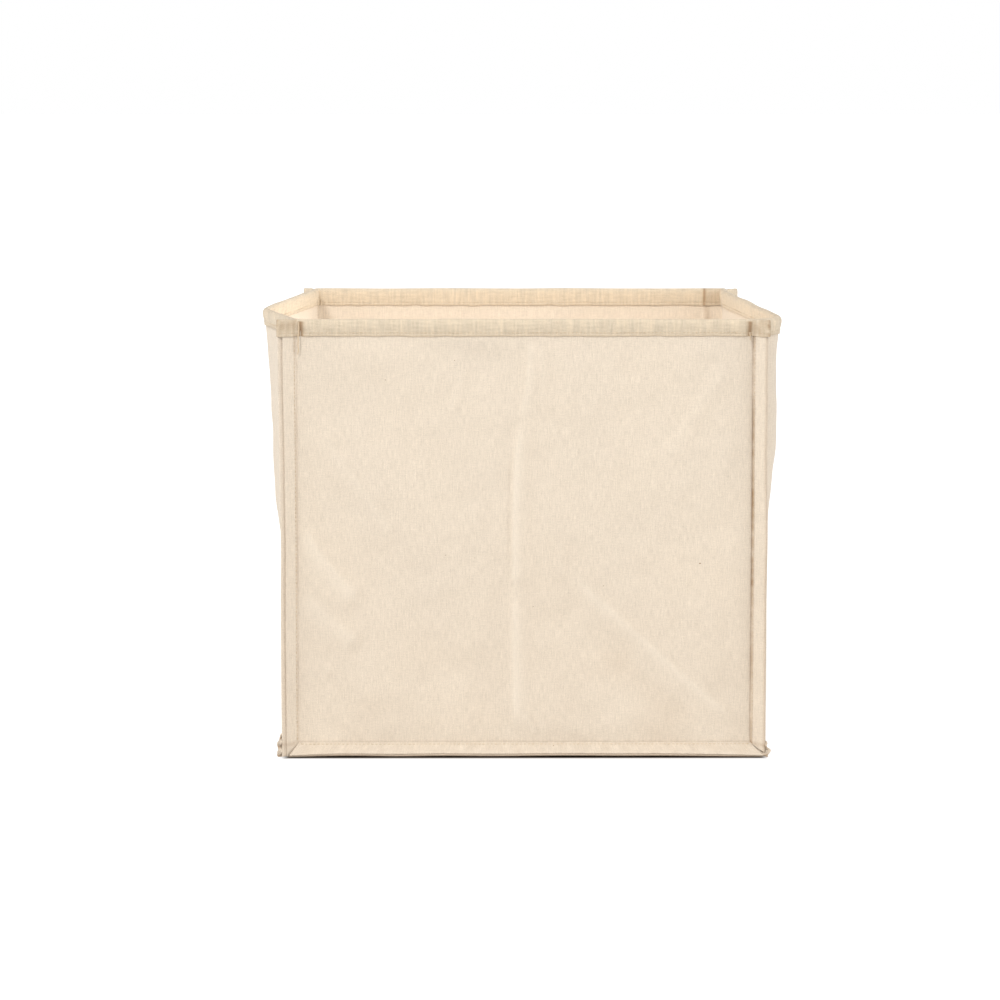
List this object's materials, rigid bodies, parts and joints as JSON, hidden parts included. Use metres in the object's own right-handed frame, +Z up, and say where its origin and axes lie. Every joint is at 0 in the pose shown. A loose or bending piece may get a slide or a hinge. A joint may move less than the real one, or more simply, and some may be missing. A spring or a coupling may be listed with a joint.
{
  "type": "fabric storage bin",
  "caption": "Open-top square storage bin in natural canvas, with turned-out corner and base seams and a bound wire rim that collapses flat.",
  "frame": {"origin": "on the floor, under the middle of the bin", "axes": "+Z up, -Y towards the front panel, +X to the right as seen from the front"},
  "size_m": [0.3784, 0.3536, 0.32],
  "materials": {
    "canvas": "natural undyed coated canvas, matt",
    "binding_tape": "natural undyed plain weave tape, matt",
    "thread": "natural polyester sewing thread, satin",
    "spring_wire": "bright drawn spring steel",
    "ferrule_steel": "crimped plain steel sleeve"
  },
  "bodies": {
    "bag": {"front_panel": "canvas", "back_panel": "canvas", "left_panel": "canvas", "right_panel": "canvas", "base_panel": "canvas", "corner_seam_front_left": "thread", "corner_seam_front_right": "thread", "corner_seam_back_left": "thread", "corner_seam_back_right": "thread", "base_seam_front": "thread", "base_seam_back": "thread", "base_seam_left": "thread", "base_seam_right": "thread"},
    "rim": {"rim_binding": "binding_tape", "rim_wire": "spring_wire", "rim_wire_ferrule": "ferrule_steel", "rim_stitching": "thread"}
  },
  "joints": [
    {"name": "rim_collapse", "type": "slide", "parent": "bag", "child": "rim", "axis": [0, 0, -1], "range_m": [0, 0.285], "deforming": ["front_panel", "back_panel", "left_panel", "right_panel", "corner_seam_front_left", "corner_seam_front_right", "corner_seam_back_left", "corner_seam_back_right"]}
  ]
}
